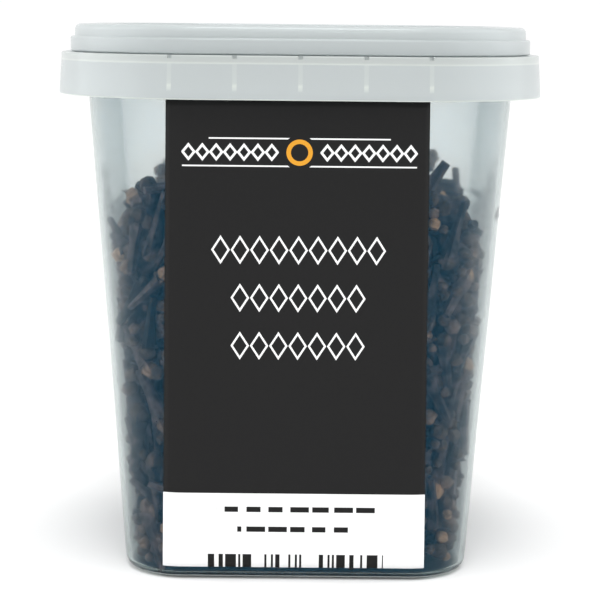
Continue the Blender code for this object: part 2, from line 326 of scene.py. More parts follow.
def ringPoints(half, flat, height):
    # rounded squares with the given half widths and half flats, one row of points each
    half, flat, height = (np.asarray(value, float)[:, None] for value in (half, flat, height))
    corner = half - flat
    out = flat + corner * np.cos(spotTurn)
    along = spotFlat * flat + corner * np.sin(spotTurn)
    angle = spotQuarter * math.pi / 2
    x = out * np.cos(angle) - along * np.sin(angle)
    y = out * np.sin(angle) + along * np.cos(angle)
    return np.stack([x, y, np.broadcast_to(height, x.shape)], axis=-1)


def sidePlace():
    # how far along its own side each point of the collar lies from the side's middle
    along = spotFlat * collarFlat + tub["collarCorner"] * np.sin(spotTurn)
    across = collarFlat + tub["collarCorner"] * np.cos(spotTurn)
    return np.where(spotTurn > math.pi / 4, -across, along)


def wallHalf(z):
    # the tub's outer half width grows evenly from its base to the collar's foot, and its corner as well
    return tub["baseHalf"] + (tub["footHalf"] - tub["baseHalf"]) * z / tub["collarFoot"]


def wallFlat(z):
    corner = tub["baseCorner"] + (tub["footCorner"] - tub["baseCorner"]) * z / tub["collarFoot"]
    return wallHalf(z) - corner


def narrowFlat(half, flat):
    # small rings near the middle of a floor keep the same rounded form
    return np.minimum(flat, 0.65 * half)


def roundOver(radius, count):
    # how far in and how far down each point of a quarter round lies, from its foot to its top
    turn = np.linspace(0, math.pi / 2, count)
    return list(zip(radius * (1 - np.cos(turn)), radius * (1 - np.sin(turn))))


def closedLoft(half, flat, height):
    # a skin over rounded squares from the first to the last, each end closed by a face
    rows = ringPoints(half, flat, height)
    count, columns = rows.shape[:2]
    faces = gridFaces(count, columns).tolist()
    faces.append(list(range(columns))[::-1])
    faces.append(list(range((count - 1) * columns, count * columns)))
    return rows, faces


# Tub

def tubSection():
    # half width, half flat and height up the outside, round collar and rim, and down the inside,
    # with the first row of the collar, of its top edge, of what follows that edge, and of the inside
    wall, edge, foot, top = tub["wall"], tub["edge"], tub["collarFoot"], tub["collarTop"]
    fillet, recess = tub["fillet"], tub["footRecess"]
    innerFoot = tub["baseHalf"] - fillet - tub["footWidth"]
    under = [(2.0, recess), (14.0, recess), (innerFoot - 1.0, recess), (innerFoot, 0.1),
             (innerFoot + 0.4, 0.0)]
    parts = [(h, narrowFlat(h, wallFlat(0)), z) for h, z in under]
    parts += [(wallHalf(z) - inset, wallFlat(z), z) for z, inset in roundOver(fillet, 8)]
    webFoot = top - tub["web"]
    fillLine = tub["fillLine"] + np.array([-0.45, -0.15, 0.15, 0.45])
    heights = [*np.linspace(4, 70, 20), *fillLine, *np.linspace(74, 94, 8), webFoot - 0.4, webFoot]
    parts += [(wallHalf(z), wallFlat(z), z) for z in heights]
    lean = (collarFootHalf - tub["collarTopHalf"]) / (top - foot)

    def skirt(inset, z):
        return (collarFootHalf - (z - foot) * lean - inset, collarFlat, z)

    collarStart = len(parts)
    parts += [skirt(wall, z) for z in (webFoot, webFoot - 0.4, foot + 3, foot + edge)]
    parts += [skirt(wall - inset, foot + drop) for inset, drop in roundOver(edge, 5)[1:]]
    parts += [skirt(drop, foot + inset) for inset, drop in roundOver(edge, 5)]
    notch = tub["notchDepth"]
    parts += [skirt(0, tub["ribFoot"] + rise) for rise, _ in tub["ribPaintedLight"]]
    parts += [skirt(0, webFoot + rise) for rise, _ in tub["webPaintedLight"]]
    parts += [skirt(0, top - notch - 0.4), skirt(0, top - notch)]
    notchStart = len(parts)
    parts += [skirt(inset, top - drop) for inset, drop in roundOver(edge, 5)]
    notchEnd = len(parts)
    parts += [skirt(notch, top), skirt(2.4, top)]
    bead, rimTop = tub["bead"], tubHigh[2]
    beadFoot = rimTop - tub["beadHeight"]
    parts += [(wallHalf(z) + out, wallFlat(z), z) for out, z in (
        (0, top), (0, beadFoot), (bead * 0.8, beadFoot + bead * 0.5), (bead, beadFoot + bead),
        (bead * 0.6, rimTop - 0.3), (-0.15, rimTop), (-wall + 0.15, rimTop), (-wall, rimTop - 0.15))]
    insideStart = len(parts)
    parts += [(wallHalf(z) - wall, wallFlat(z), z) for z in (100, 96, *np.linspace(92, 6, 16))]
    floor = tub["floor"]
    parts += [(wallHalf(floor + up) - wall - inset, wallFlat(floor + up), floor + up)
              for up, inset in roundOver(fillet - wall, 7)[::-1]]
    parts += [(h, narrowFlat(h, wallFlat(0)), floor) for h in (29.0, 15.0, 2.0)]
    half, flat, height = np.array(parts).T
    return half, flat, height, (collarStart, notchStart, notchEnd, insideStart)


def nearRib():
    # one along the width of a notch and its rib, falling to nothing over a short slope beside it
    half, slope = outline["notchWidth"] / 2, outline["notchSlope"]
    away = np.min(np.abs(sidePlace()[:, None] - np.array(outline["ribSpots"])), axis=1)
    return np.clip((half + slope - away) / slope, 0, 1)


def cutNotches(rows, notchStart, notchEnd):
    # the collar's top edge drops to a small shelf where the side place is near a rib
    inward = -rows[notchEnd] + rows[notchStart - 1]
    depth = np.linspace(0.2, 1.0, notchEnd - notchStart)[:, None, None]
    shelf = rows[notchStart - 1] - inward * [1, 1, 0] * depth
    edge = rows[notchStart:notchEnd]
    rows[notchStart:notchEnd] = edge + (shelf - edge) * nearRib()[:, None]


def collarPaintedLight(height, marks):
    # how much painted light each point of the collar's outer face takes where ribs and web show through, and
    # the painted highlight along the foot's edge
    collarStart, _, notchEnd, _ = marks
    row = np.arange(len(height))
    outer = (row >= collarStart) & (row < notchEnd)
    ribs = outer * np.interp(height - tub["ribFoot"], *zip(*tub["ribPaintedLight"]))
    web = outer * np.interp(height - (tub["collarTop"] - tub["web"]), *zip(*tub["webPaintedLight"]))
    edge = tub["edgeAndRibPaintedLight"] * (outer & (height < tub["collarFoot"] + 0.2))
    return np.maximum(ribs[:, None] * nearRib(), np.maximum(web, edge)[:, None])


def pushOut(rows, distance):
    # moves each point away from the tub's axis
    away = rows[..., :2] / np.linalg.norm(rows[..., :2], axis=-1, keepdims=True)
    rows[..., :2] += away * distance[..., None]


def raiseFillLine(rows, height):
    # a fine ridge along the middle part of the front and the back wall
    onLine = np.abs(height - tub["fillLine"]) < 0.2
    outer = np.arange(len(height)) < len(height) // 2
    reach = np.clip((tub["fillLineReach"] - np.abs(sidePlace())) / tub["fillLineFade"], 0, 1)
    reach = reach * (spotQuarter % 2 == 1)
    pushOut(rows, tub["fillLineHeight"] * (onLine & outer)[:, None] * reach)


def addWave(rows, height):
    # slow waves of a thin moulded wall, both faces alike, none at the base or above the web
    x, y, z = np.moveaxis(rows, -1, 0)
    swell = np.sin(x / 9.1 + z / 17.0) * np.cos(y / 7.7 - z / 13.0) + 0.6 * np.sin((x - y) / 5.3 + z / 23.0)
    fade = np.clip((height - 4) / 12, 0, 1) * np.clip((92 - height) / 8, 0, 1)
    pushOut(rows, tub["wave"] * swell * fade[:, None])


def ribBoxes(start):
    # thin uprights between the wall and the collar, from the web down to their feet
    webFoot = tub["collarTop"] - tub["web"]
    middle = (tub["ribFoot"] + webFoot) / 2
    spots = np.array(outline["ribSpots"])

    def sideOut(half, flat):
        past = np.maximum(np.abs(spots) - flat, 0)
        return flat + np.sqrt((half - flat) ** 2 - past ** 2)

    inner = sideOut(wallHalf(middle), wallFlat(middle)) - 0.1
    outer = sideOut(collarFootHalf - 0.35, collarFlat) - tub["wall"] + 0.1
    halfWide = tub["ribWidth"] / 2
    corners = [(x, side, z) for z in (0, 1) for side, x in ((0, -1), (0, 1), (1, 1), (1, -1))]
    across, side, up = np.array(corners).T
    out = inner[:, None] + (outer - inner)[:, None] * side
    shift = spots[:, None] + halfWide * across
    rise = tub["ribFoot"] + (webFoot + 0.1 - tub["ribFoot"]) * up + 0.0 * out
    boxes = np.stack([shift, -out, rise], axis=-1)
    turned = [boxes @ np.array(Matrix.Rotation(-quarter * math.pi / 2, 3, "Z")) for quarter in range(4)]
    points = np.concatenate(turned).reshape(-1, 3)
    box = np.array([(0, 1, 2, 3), (4, 7, 6, 5), (0, 4, 5, 1), (1, 5, 6, 2), (2, 6, 7, 3), (3, 7, 4, 0)])
    faces = start + box + 8 * np.arange(len(points) // 8)[:, None, None]
    return points, faces.reshape(-1, 4).tolist()


def makeTub():
    # the collar, the rim and the ribs are the thicker plastic, and a thin line at the foot takes it as a
    # painted highlight
    half, flat, height, marks = tubSection()
    collarStart, notchStart, notchEnd, insideStart = marks
    rows, faces = closedLoft(half, flat, height)
    cutNotches(rows, notchStart, notchEnd)
    raiseFillLine(rows, height)
    addWave(rows, height)
    points = rows.reshape(-1, 3)
    ribs, ribFaces = ribBoxes(len(points))
    piece = placedMesh("tubShell", np.concatenate([points, ribs]), faces + ribFaces, wallPlastic)
    piece.data.materials.append(rimPlastic)
    row = np.repeat(np.arange(len(height) - 1), rows.shape[1])
    # the painted highlight along the foot
    lowLine, highLine = tub["paintedFootHighlight"]
    isPaintedFootHighlight = (height[row] > lowLine) & (height[row] < highLine) & (row < collarStart)
    isRim = isPaintedFootHighlight | (row >= collarStart - 1) & (row < insideStart - 1)
    isRim = np.concatenate([isRim, [False] * 2, [True] * len(ribFaces)])
    piece.data.polygons.foreach_set("material_index", isRim.astype(np.int32))
    inside = np.repeat(np.arange(len(height)) >= insideStart, rows.shape[1])
    # painted light on the collar where ribs and web show through, a painted highlight along its foot, and
    # painted light on the ribs
    paintedLight = collarPaintedLight(height, marks).ravel()
    addAttribute(piece, "inside", "FLOAT", np.concatenate([inside, np.zeros(len(ribs))]))
    addAttribute(piece, "paintedLight", "FLOAT", np.concatenate([paintedLight, np.full(len(ribs), tub["edgeAndRibPaintedLight"])]))
    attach(piece, "root")
    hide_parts("tub")


makeTub()
print("tub made")


# Lid

lid = {
    "step": 106.1,
    "footDrop": 0.12,  # closes a part of the gap above the collar
    "lowerHalf": lidHigh[0],
    "upperHalf": 44.35,
    "flat": 18.7,
    "panel": 105.4,
    "sheet": 1.0,
    "beadWidth": 3.8,
    "rounding": 1.15,
    "stepRounding": 0.35,
    "channelHalf": 43.8,
    "plugHalf": 40.3,
    "ringHalf": 27.0,  # low raised ring on the sunk panel
    "ringHeight": 0.35,
}


def lidSection():
    # half width and height from under the panel, through the channel, over the rim and back to the middle
    low, step, top, panel = lidLow[2] - lid["footDrop"], lid["step"], lidHigh[2], lid["panel"]
    sheet, plug, channel = lid["sheet"], lid["plugHalf"], lid["channelHalf"]
    lower, upper = lid["lowerHalf"], lid["upperHalf"]
    under, roof = panel - sheet, top - sheet
    beadInner = upper - lid["beadWidth"]
    parts = [(2.0, under), (14.0, under), (plug - sheet, under), (plug - 0.3, under + 0.2),
             (plug, under + 0.6), (plug + 0.4, roof - 0.6), (plug + 0.9, roof),
             (channel - 0.6, roof), (channel - 0.3, roof - 0.4), (channel, step - 0.2),
             (channel + 0.1, low + 0.2), (channel + 0.25, low)]
    parts += [(lower - drop, low + inset) for inset, drop in roundOver(0.2, 6)]
    parts += [(lower - inset, step - drop) for inset, drop in roundOver(lid["stepRounding"], 6)]
    parts += [(upper + drop, step + inset) for inset, drop in roundOver(0.2, 6)]
    parts += [(upper - inset, top - drop) for inset, drop in roundOver(lid["rounding"], 8)]
    parts += [(beadInner + drop, top - inset) for inset, drop in roundOver(0.5, 6)]
    parts += [(beadInner - sheet * 0.8, panel + 0.5), (beadInner - sheet - 0.2, panel)]
    ring, raised = lid["ringHalf"], panel + lid["ringHeight"]
    parts += [(ring + 1.2, panel), (ring + 0.8, raised - 0.1), (ring + 0.4, raised), (ring - 0.4, raised),
              (ring - 0.8, raised - 0.1), (ring - 1.2, panel), (12.0, panel), (2.0, panel)]
    return np.array(parts).T


def makeLid():
    half, height = lidSection()
    rows, faces = closedLoft(half, narrowFlat(half, lid["flat"]), height)
    piece = placedMesh("lidShell", rows.reshape(-1, 3), faces, rimPlastic)
    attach(piece, "root")
    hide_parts("lid")


makeLid()
print("lid made")


# Label

label = {
    "gap": 0.06,
    "thickness": 0.16,
    "shift": -0.4,
    "bottomWidth": 51.6,
    "topWidth": 49.2,
    "columns": 48,
    "rows": 60,
    "dark": (0.0105, 0.0105, 0.0107, 1),
    "pale": (0.90, 0.90, 0.90, 1),
    "ink": (0.010, 0.010, 0.010, 1),
    "amber": (0.75, 0.34, 0.03, 1),
    "back": (0.70, 0.70, 0.68, 1),
    "bandTop": 18.0,
    "titleRows": ((66.5, 9), (57.2, 7), (47.8, 7)),  # height and count of shapes
    "titleHalfHeight": 2.7,
    "titlePitch": 3.7,
    "titleStroke": 0.13,
    "emblemHeight": 85.1,
    "sideRow": {"Pitch": 2.6, "Shift": 0.0, "Half Length": 22.1, "Half Height": 1.5, "Stroke": 0.24},
    "sideRowStart": 3.9,
    "rules": ((2.6, 17.0), (-2.6, 22.0)),  # height from the emblem's middle and half length
    "ruleHalfHeight": 0.14,
    "ring": (2.05, 0.42, 3.3),  # radius, half its width, and the bare field round it
    "noteRows": ((14.7, 15.5), (10.6, 11.5)),  # height and half length
    "dash": {"Cell": 4.3, "Half Height": 0.55},
    "stripTop": 5.4,
    "stripHalf": 17.3,
    "stripBar": 0.43,
    "stripGaps": 0.45,  # share of the strip that stays bare
    "fibreScale": 1500.0,
}


def lozengeRowGroup():
    # outlines of lozenges in a row: |x| / (pitch / 2) + |z| / half height stays near one
    inputs = (("X", "Float", 0.0), ("Z", "Float", 0.0), ("Middle Z", "Float", 0.0), ("Pitch", "Float", 3.7),
              ("Shift", "Float", 0.0), ("Half Length", "Float", 15.0), ("Half Height", "Float", 2.7),
              ("Stroke", "Float", 0.2))
    group, given, out = newGroup("lozengeRow", inputs, (("Mask", "Float"),))
    cell = maths(group, "DIVIDE", maths(group, "ADD", given["X"], given["Shift"]), given["Pitch"])
    inCell = maths(group, "SUBTRACT", maths(group, "FRACT", maths(group, "ADD", cell, 100.5)), 0.5)
    across = maths(group, "MULTIPLY", maths(group, "ABSOLUTE", inCell), 2.15)
    rise = maths(group, "ABSOLUTE", maths(group, "SUBTRACT", given["Z"], given["Middle Z"]))
    form = maths(group, "ADD", across, maths(group, "DIVIDE", rise, given["Half Height"]))
    away = maths(group, "ABSOLUTE", maths(group, "SUBTRACT", form, 0.9))
    line = maths(group, "LESS_THAN", away, given["Stroke"])
    inside = maths(group, "LESS_THAN", maths(group, "ABSOLUTE", given["X"]), given["Half Length"])
    group.links.new(maths(group, "MULTIPLY", line, inside), out["Mask"])
    return group


def dashRowGroup():
    # a row of dashes of uneven length, each from the start of its cell to a random share of it
    inputs = (("X", "Float", 0.0), ("Z", "Float", 0.0), ("Middle Z", "Float", 0.0), ("Cell", "Float", 4.0),
              ("Half Length", "Float", 15.0), ("Half Height", "Float", 0.5), ("Seed", "Float", 1.0))
    group, given, out = newGroup("dashRow", inputs, (("Mask", "Float"),))
    cell = maths(group, "DIVIDE", maths(group, "ADD", given["X"], 100.0), given["Cell"])
    number = maths(group, "ADD", maths(group, "FLOOR", cell), given["Seed"])
    draw = addNode(group, "TexWhiteNoise", named={"W": number}, noise_dimensions="1D").outputs["Value"]
    share = fromRange(group, draw, 0.0, 1.0, 0.55, 0.88)
    dash = maths(group, "LESS_THAN", maths(group, "FRACT", cell), share)
    rise = maths(group, "ABSOLUTE", maths(group, "SUBTRACT", given["Z"], given["Middle Z"]))
    level = maths(group, "LESS_THAN", rise, given["Half Height"])
    inside = maths(group, "LESS_THAN", maths(group, "ABSOLUTE", given["X"]), given["Half Length"])
    both = maths(group, "MULTIPLY", maths(group, "MULTIPLY", dash, level), inside)
    group.links.new(both, out["Mask"])
    return group


def most(tree, masks):
    total = masks[0]
    for mask in masks[1:]:
        total = maths(tree, "MAXIMUM", total, mask)
    return total


def paperFibre(tree):
    return noise(tree, addNode(tree, "TexCoord").outputs["Object"], label["fibreScale"])


def labelMaterial():
    # the print: each mask is worked out from the place across and up the sheet, in millimetres
    made, tree, shader = newMaterial("labelPaper")
    uv = addNode(tree, "UVMap", uv_map="print").outputs[0]
    spot = addNode(tree, "SeparateXYZ", uv).outputs
    x = maths(tree, "MULTIPLY_ADD", spot[0], 100.0, -50.0)
    z = maths(tree, "MULTIPLY", spot[1], 100.0)
    lozengeRow, dashRow = lozengeRowGroup(), dashRowGroup()
    pitch = label["titlePitch"]
    white = [useGroup(tree, lozengeRow, **{
        "X": x, "Z": z, "Middle Z": height, "Pitch": pitch, "Shift": 0.0 if count % 2 else pitch / 2,
        "Half Length": count * pitch / 2, "Half Height": label["titleHalfHeight"],
        "Stroke": label["titleStroke"]})[0] for height, count in label["titleRows"]]
    high = label["emblemHeight"]
    rise = maths(tree, "SUBTRACT", z, high)
    across = maths(tree, "ABSOLUTE", x)
    # two rows of small lozenges either side of a ring, between two rules
    sideRow = useGroup(tree, lozengeRow, **{"X": x, "Z": z, "Middle Z": high, **label["sideRow"]})[0]
    white.append(maths(tree, "MULTIPLY", sideRow, maths(tree, "GREATER_THAN", across, label["sideRowStart"])))
    for offset, reach in label["rules"]:
        near = maths(tree, "COMPARE", rise, offset, label["ruleHalfHeight"])
        white.append(maths(tree, "MULTIPLY", near, maths(tree, "LESS_THAN", across, reach)))
    ringRadius, ringHalf, bareRadius = label["ring"]
    square = maths(tree, "ADD", maths(tree, "POWER", across, 2.0), maths(tree, "MULTIPLY", rise, rise))
    radius = maths(tree, "SQRT", square)
    ring = maths(tree, "COMPARE", radius, ringRadius, ringHalf)
    whiteMask = maths(tree, "MULTIPLY", most(tree, white), maths(tree, "GREATER_THAN", radius, bareRadius))
    dark = [useGroup(tree, dashRow, **{
        "X": x, "Z": z, "Middle Z": height, "Half Length": reach, "Seed": reach, **label["dash"]})[0]
        for height, reach in label["noteRows"]]
    cell = maths(tree, "FLOOR", maths(tree, "DIVIDE", maths(tree, "ADD", x, 50.0), label["stripBar"]))
    draw = addNode(tree, "TexWhiteNoise", named={"W": cell}, noise_dimensions="1D").outputs["Value"]
    bars = maths(tree, "GREATER_THAN", draw, label["stripGaps"])
    inStrip = maths(tree, "MULTIPLY", maths(tree, "LESS_THAN", z, label["stripTop"]),
                    maths(tree, "LESS_THAN", across, label["stripHalf"]))
    dark.append(maths(tree, "MULTIPLY", bars, inStrip))
    band = maths(tree, "LESS_THAN", z, label["bandTop"])
    paper = mixed(tree, band, label["dark"], label["pale"])
    paper = mixed(tree, whiteMask, paper, label["pale"])
    paper = mixed(tree, ring, paper, label["amber"])
    paper = mixed(tree, most(tree, dark), paper, label["ink"])
    tree.links.new(paper, shader.inputs["Base Color"])
    fibre = paperFibre(tree)
    tree.links.new(fromRange(tree, fibre, 0.3, 0.7, 0.42, 0.56), shader.inputs["Roughness"])
    shader.inputs["Specular IOR Level"].default_value = 0.15
    addBump(tree, shader, fibre, 0.1, 0.00003)
    return made


def labelBackMaterial():
    # bare paper, which shows through the tub from behind
    made, tree, shader = newMaterial("labelBack")
    tree.links.new(mixed(tree, paperFibre(tree), label["back"], label["pale"]), shader.inputs["Base Color"])
    shader.inputs["Roughness"].default_value = 0.6
    return made


def makeLabel():
    # a sheet that follows the front wall: out from the wall's own rounded square at each height
    rows, columns = label["rows"], label["columns"]
    up, across = np.meshgrid(np.linspace(0, 1, rows), np.linspace(-0.5, 0.5, columns), indexing="ij")
    z = labelLow[2] + up * (labelHigh[2] - labelLow[2])
    x = label["shift"] + across * (label["bottomWidth"] + (label["topWidth"] - label["bottomWidth"]) * up)
    flat = wallFlat(z)
    corner = wallHalf(z) - flat
    front = flat + np.sqrt(corner ** 2 - np.maximum(np.abs(x) - flat, 0) ** 2) + label["gap"]
    points = np.stack([x, -front, z], axis=-1).reshape(-1, 3)
    row, column = np.meshgrid(np.arange(rows - 1), np.arange(columns - 1), indexing="ij")
    first = (row * columns + column).ravel()
    faces = np.stack([first, first + 1, first + columns + 1, first + columns], axis=-1)
    piece = placedMesh("labelSheet", points, faces.tolist(), labelMaterial())
    piece.data.materials.append(labelBackMaterial())
    place = points[np.array([loop.vertex_index for loop in piece.data.loops])]
    spots = np.stack([place[:, 0] / 100 + 0.5, place[:, 2] / 100], axis=-1)
    piece.data.uv_layers.new(name="print").data.foreach_set("uv", spots.ravel().astype(np.float32))
    paper = piece.modifiers.new("paper", "SOLIDIFY")
    paper.thickness = label["thickness"] * mm
    paper.offset = 1
    paper.material_offset = 1
    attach(piece, "root")
    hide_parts("label")


makeLabel()
print("label made")


# Whole cloves

clove = {
    "seed": 5,
    "variants": 8,
    "sides": 6,
    "stem": ((0.0, 0.80), (5.5, 1.1), (10.2, 1.75), (11.2, 1.9)),  # height and radius
    "tooth": {"inner": 1.2, "outer": 2.0, "base": 10.5, "top": 11.5, "tip": 2.7, "tipHeight": 12.2,
              "half": 1.0},
    "toothSpread": (0.75, 1.05),
    "toothLift": 0.9,
    "bud": {"radius": 2.15, "height": 12.7, "bands": 4},
    "budSizes": (0.88, 1.05),
    "sunkBud": (0.55, 1.5),  # size, and how far it lies down between the teeth, on every fourth clove
    "bend": 1.6,
    "budShares": {"tooth": 0.6, "crown": 0.25},  # how much of the buds' colour teeth and crown take
    "paleBuds": (0.62, 1.0),  # range of tints over which buds turn from dark to pale
    "length": 15.0,
    "sizes": (0.86, 1.1),
    "wrinkleScale": 1300.0,
    "patchScale": 420.0,
    "wrinkleDepth": (0.9, 0.0003),  # strength and distance of the bump
    "gloss": 0.3,
    "stations": (  # height along the clove, radius that keeps cloves apart, and radius off the tub
        (1.2, 0.95, 1.1), (4.2, 1.1, 1.2), (7.2, 1.3, 1.5), (10.7, 2.2, 2.2), (12.3, 2.2, 2.75)),
}
stations = np.array(clove["stations"])
heap = {
    "seed": 21,
    "edge": 65.0,
    "mound": 15.0,
    "moundSteps": ((0.0, 1.0), (0.15, 1.0), (0.45, 0.93), (0.74, 0.76), (0.9, 0.42), (1.0, 0.0)),
    "moundLength": 0.75,  # towards front and back the mound falls that much more slowly than sideways
    "standOut": 3.0,  # how far a clove at the wall may rise above the mound
    "reach": 36.5,
    "clearance": 0.05,
    "wallLayers": ((0.0, 0.12, 14000), (2.4, 0.4, 7000), (4.8, 0.6, 5000)),  # depth, lean and tries
    "wallSpread": (1.4, 3.0),
    "topLayers": ((0.8, 0.3, 4000), (3.0, 0.5, 3000)),
    "floorTries": 1500,
    "floorSpread": (2.3, 3.2),
    "floorHalf": 32.0,
    "overlap": 0.66,  # share of two radii that cloves keep between their middles
    "byHand": (  # middle and direction of cloves that show at the front corners
        ((24.0, -32.2, 76.6), (-0.55, 0.0, -0.83)),
        ((26.4, -30.9, 70.6), (0.95, 0.3, 0.1)),
        ((29.4, -28.4, 63.4), (0.88, 0.45, 0.2)),
        ((-28.3, -31.6, 72.9), (-0.16, -0.2, 0.97)),
        ((-28.8, -28.8, 68.0), (-0.80, 0.55, 0.05)),
        ((34.9, 14.0, 70.6), (0.05, 0.0, -0.99)),
    ),
    "budTries": 2600,
    "budRadius": (1.1, 2.0),
    "budSpread": (0.2, 1.5),
    "tints": (0.42, 0.28),  # middle and spread
    "coreInset": 9.5,
    "coreFoot": 3.5,
    # the core's colours, darker than the cloves' own with painted shade
    "paintedShadeCoreColours": {"Dark": (0.006, 0.004, 0.003, 1), "Light": (0.02, 0.011, 0.007, 1)},
}


def dryHuskGroup():
    # fine lengthwise wrinkles and mottled brown, with paler buds whose colour teeth and crown take in part,
    # painted shade in the wrinkles' grooves and painted light on their ridges
    inputs = (("Place", "Vector", None), ("Bud", "Float", 0.0), ("Tint", "Float", 0.5),
              ("Dark", "Color", (0.010, 0.0055, 0.004, 1)), ("Light", "Color", (0.26, 0.18, 0.165, 1)),
              ("Bud Colour", "Color", (0.60, 0.35, 0.19, 1)))
    outputs = (("Colour", "Color"), ("Roughness", "Float"), ("Height", "Float"))
    group, given, out = newGroup("dryHusk", inputs, outputs)
    lengthwise = stretched(group, given["Place"], (1, 1, 0.22))
    wrinkle = noise(group, lengthwise, clove["wrinkleScale"], 3.0, 0.6, 0.4)
    patch = noise(group, given["Place"], clove["patchScale"], 2.0)
    share = maths(group, "ADD", fromRange(group, patch, 0.35, 0.7, -0.15, 0.55),
                  fromRange(group, given["Tint"], 0.0, 1.0, -0.2, 0.5), clamp=True)
    brown = mixed(group, share, given["Dark"], given["Light"])
    pale = fromRange(group, given["Tint"], *clove["paleBuds"], 0.12, 0.9)
    budShare = maths(group, "MULTIPLY", given["Bud"], pale, clamp=True)
    brown = mixed(group, budShare, brown, given["Bud Colour"])
    # painted shade darkens the wrinkles' grooves and painted light lifts their ridges
    paintedWrinkleShade = fromRange(group, wrinkle, 0.3, 0.62, 0.45, 1.15)
    shade = addNode(group, "CombineColor", paintedWrinkleShade, paintedWrinkleShade, paintedWrinkleShade).outputs[0]
    group.links.new(mixed(group, 1.0, brown, shade, "MULTIPLY"), out["Colour"])
    group.links.new(fromRange(group, wrinkle, 0.3, 0.7, 0.75, 0.5), out["Roughness"])
    group.links.new(wrinkle, out["Height"])
    return group


def huskMaterial(name, group, scattered, **colours):
    # scattered cloves carry their own grain, bud and tint, and the core reads its place alone
    made, tree, shader = newMaterial(name)
    if scattered:
        place = addNode(tree, "Attribute", attribute_name="grain").outputs["Vector"]
        bud = addNode(tree, "Attribute", attribute_name="bud").outputs["Fac"]
        tint = addNode(tree, "Attribute", attribute_name="tint").outputs["Fac"]
    else:
        place, bud, tint = addNode(tree, "TexCoord").outputs["Object"], 0.0, 0.2
    husk = useGroup(tree, group, Place=place, Bud=bud, Tint=tint, **colours)
    tree.links.new(husk["Colour"], shader.inputs["Base Color"])
    tree.links.new(husk["Roughness"], shader.inputs["Roughness"])
    shader.inputs["Specular IOR Level"].default_value = clove["gloss"]
    addBump(tree, shader, husk["Height"], *clove["wrinkleDepth"])
    return made


def budForm():
    # a ball of radius one: rings of latitude between two poles
    sides, rings = clove["sides"], clove["bud"]["bands"] - 1
    angle = np.arange(sides) * math.tau / sides
    across = np.linspace(0, math.pi, rings + 2)[1:-1, None]
    points = np.stack([np.sin(across) * np.cos(angle), np.sin(across) * np.sin(angle),
                       -np.cos(across) + 0 * angle], axis=-1).reshape(-1, 3)
    here = np.arange(sides)
    beside = (here + 1) % sides
    pole, last = rings * sides, (rings - 1) * sides
    faces = gridFaces(rings, sides).tolist()
    faces += np.stack([beside, here, 0 * here + pole], axis=-1).tolist()
    faces += np.stack([last + here, last + beside, 0 * here + pole + 1], axis=-1).tolist()
    return np.concatenate([points, [(0, 0, -1), (0, 0, 1)]]), faces


def toothForms(draw):
    # four tetrahedra round the crown: a foot of three corners, and a tip that leans out and up or down
    tooth, count = clove["tooth"], clove["variants"]
    spread = draw.uniform(*clove["toothSpread"], (count, 4))
    lift = draw.uniform(-clove["toothLift"], clove["toothLift"], (count, 4))
    half = tooth["half"]
    foot = np.array([(tooth["inner"], -half, tooth["top"]), (tooth["inner"], half, tooth["top"]),
                     (tooth["outer"], 0, tooth["base"])])
    tips = np.stack([tooth["tip"] * spread, 0 * spread, tooth["tipHeight"] + lift], axis=-1)[:, :, None]
    teeth = np.concatenate([np.broadcast_to(foot, (count, 4, 3, 3)), tips], axis=2)
    quarter = np.arange(4) * math.pi / 2 + 0.4
    cos, sin = np.cos(quarter)[:, None], np.sin(quarter)[:, None]
    points = np.stack([teeth[..., 0] * cos - teeth[..., 1] * sin,
                       teeth[..., 0] * sin + teeth[..., 1] * cos, teeth[..., 2]], axis=-1)
    corners = np.array([(0, 1, 2), (1, 0, 3), (2, 1, 3), (0, 2, 3)])
    faces = corners + 4 * np.arange(4)[:, None, None]
    return points.reshape(count, -1, 3), faces.reshape(-1, 3)


def cloveForms(draw):
    # each variant: a bent tapered stem, four teeth round its crown, and a round bud between them
    count, sides = clove["variants"], clove["sides"]
    height, radius = np.array(clove["stem"]).T
    rings = len(height)
    angle = np.arange(sides) * math.tau / sides
    swell = 1 + draw.uniform(-0.10, 0.10, (count, rings, sides))
    ringRadius = radius[None, :, None] * swell * (1 + 0.12 * np.cos(2 * angle))
    ringHeight = np.broadcast_to(height[None, :, None], ringRadius.shape)
    stem = np.stack([ringRadius * np.cos(angle), ringRadius * np.sin(angle), ringHeight], axis=-1)
    teeth, toothFaces = toothForms(draw)
    ball, ballFaces = budForm()
    small, sunk = clove["sunkBud"]
    isSunk = np.arange(count) % 4 == 3
    size = np.where(isSunk, small, draw.uniform(*clove["budSizes"], count))
    budHeight = clove["bud"]["height"] - np.where(isSunk, sunk, 0.0)
    middle = np.stack([0 * size, 0 * size, budHeight], axis=-1)[:, None]
    ball = ball * clove["bud"]["radius"] * size[:, None, None] + middle
    points = np.concatenate([stem.reshape(count, -1, 3), teeth, ball], axis=1)
    bend = draw.uniform(-clove["bend"], clove["bend"], (count, 1))
    points[..., 0] += bend * (points[..., 2] / 12) ** 2
    crown, firstTooth = (rings - 1) * sides, rings * sides
    firstBud = firstTooth + teeth.shape[1]
    faces = gridFaces(rings, sides).tolist() + [list(range(sides))[::-1], list(range(crown, firstTooth))]
    faces += (toothFaces + firstTooth).tolist()
    faces += [[firstBud + corner for corner in face] for face in ballFaces]
    isBud = (np.arange(points.shape[1]) >= firstBud).astype(float)
    isBud[firstTooth + 3:firstBud:4] = clove["budShares"]["tooth"]
    isBud[crown:firstTooth] = clove["budShares"]["crown"]
    return points, faces, isBud


